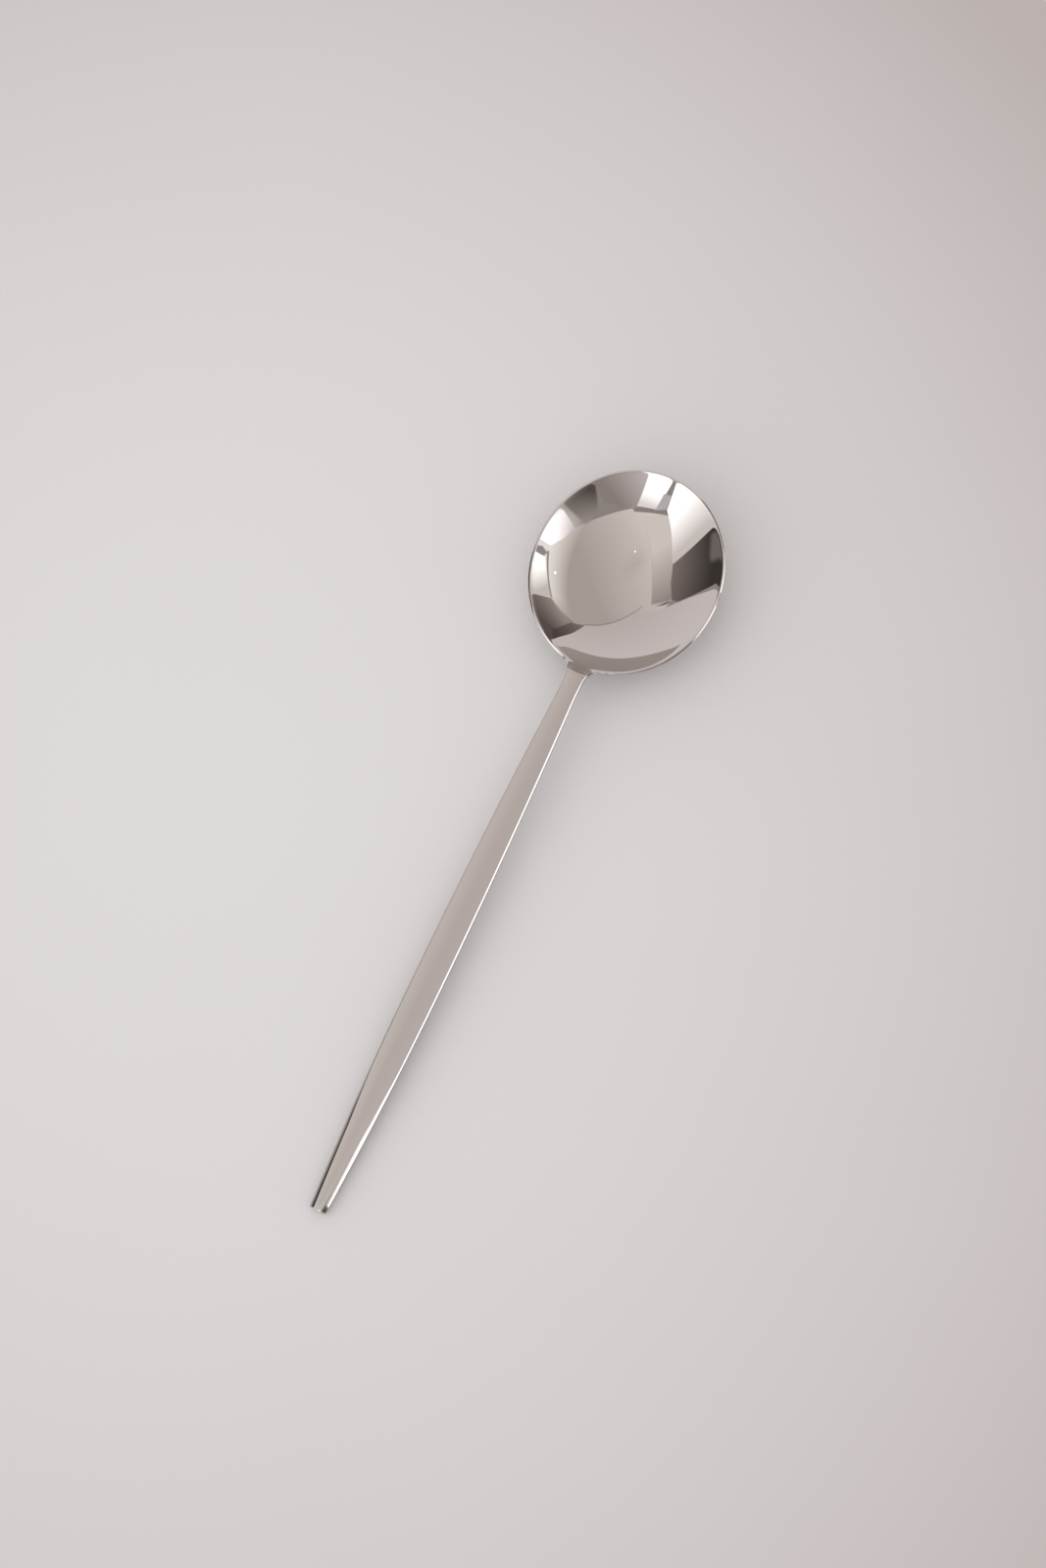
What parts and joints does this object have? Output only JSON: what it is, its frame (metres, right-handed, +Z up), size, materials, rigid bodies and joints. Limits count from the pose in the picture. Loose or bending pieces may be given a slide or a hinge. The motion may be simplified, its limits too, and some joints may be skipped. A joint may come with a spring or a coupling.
{
  "type": "soup spoon",
  "caption": "Soup spoon with a round shallow dished bowl, a crisp crest at the neck and a slim straight handle that swells in the middle and narrows to a flat end.",
  "frame": {"origin": "on the table, under the middle of the spoon's overall length, as it lies at rest on the back of the bowl and the underside of the handle's end", "axes": "+Y along the spoon from the handle's end to the bowl's tip, +X to the right when looking along +Y, +Z up, out of the bowl"},
  "size_m": [0.0456, 0.1901, 0.0131],
  "materials": {
    "polished_steel": "mirror polished stainless steel with fine wiping marks",
    "satin_steel": "polished stainless steel with faint lengthwise polishing lines",
    "braze": "pale silver-bearing filler metal, as run"
  },
  "bodies": {
    "root": {"bowl": "polished_steel", "handle": "satin_steel", "braze_foil": "braze"}
  },
  "joints": []
}
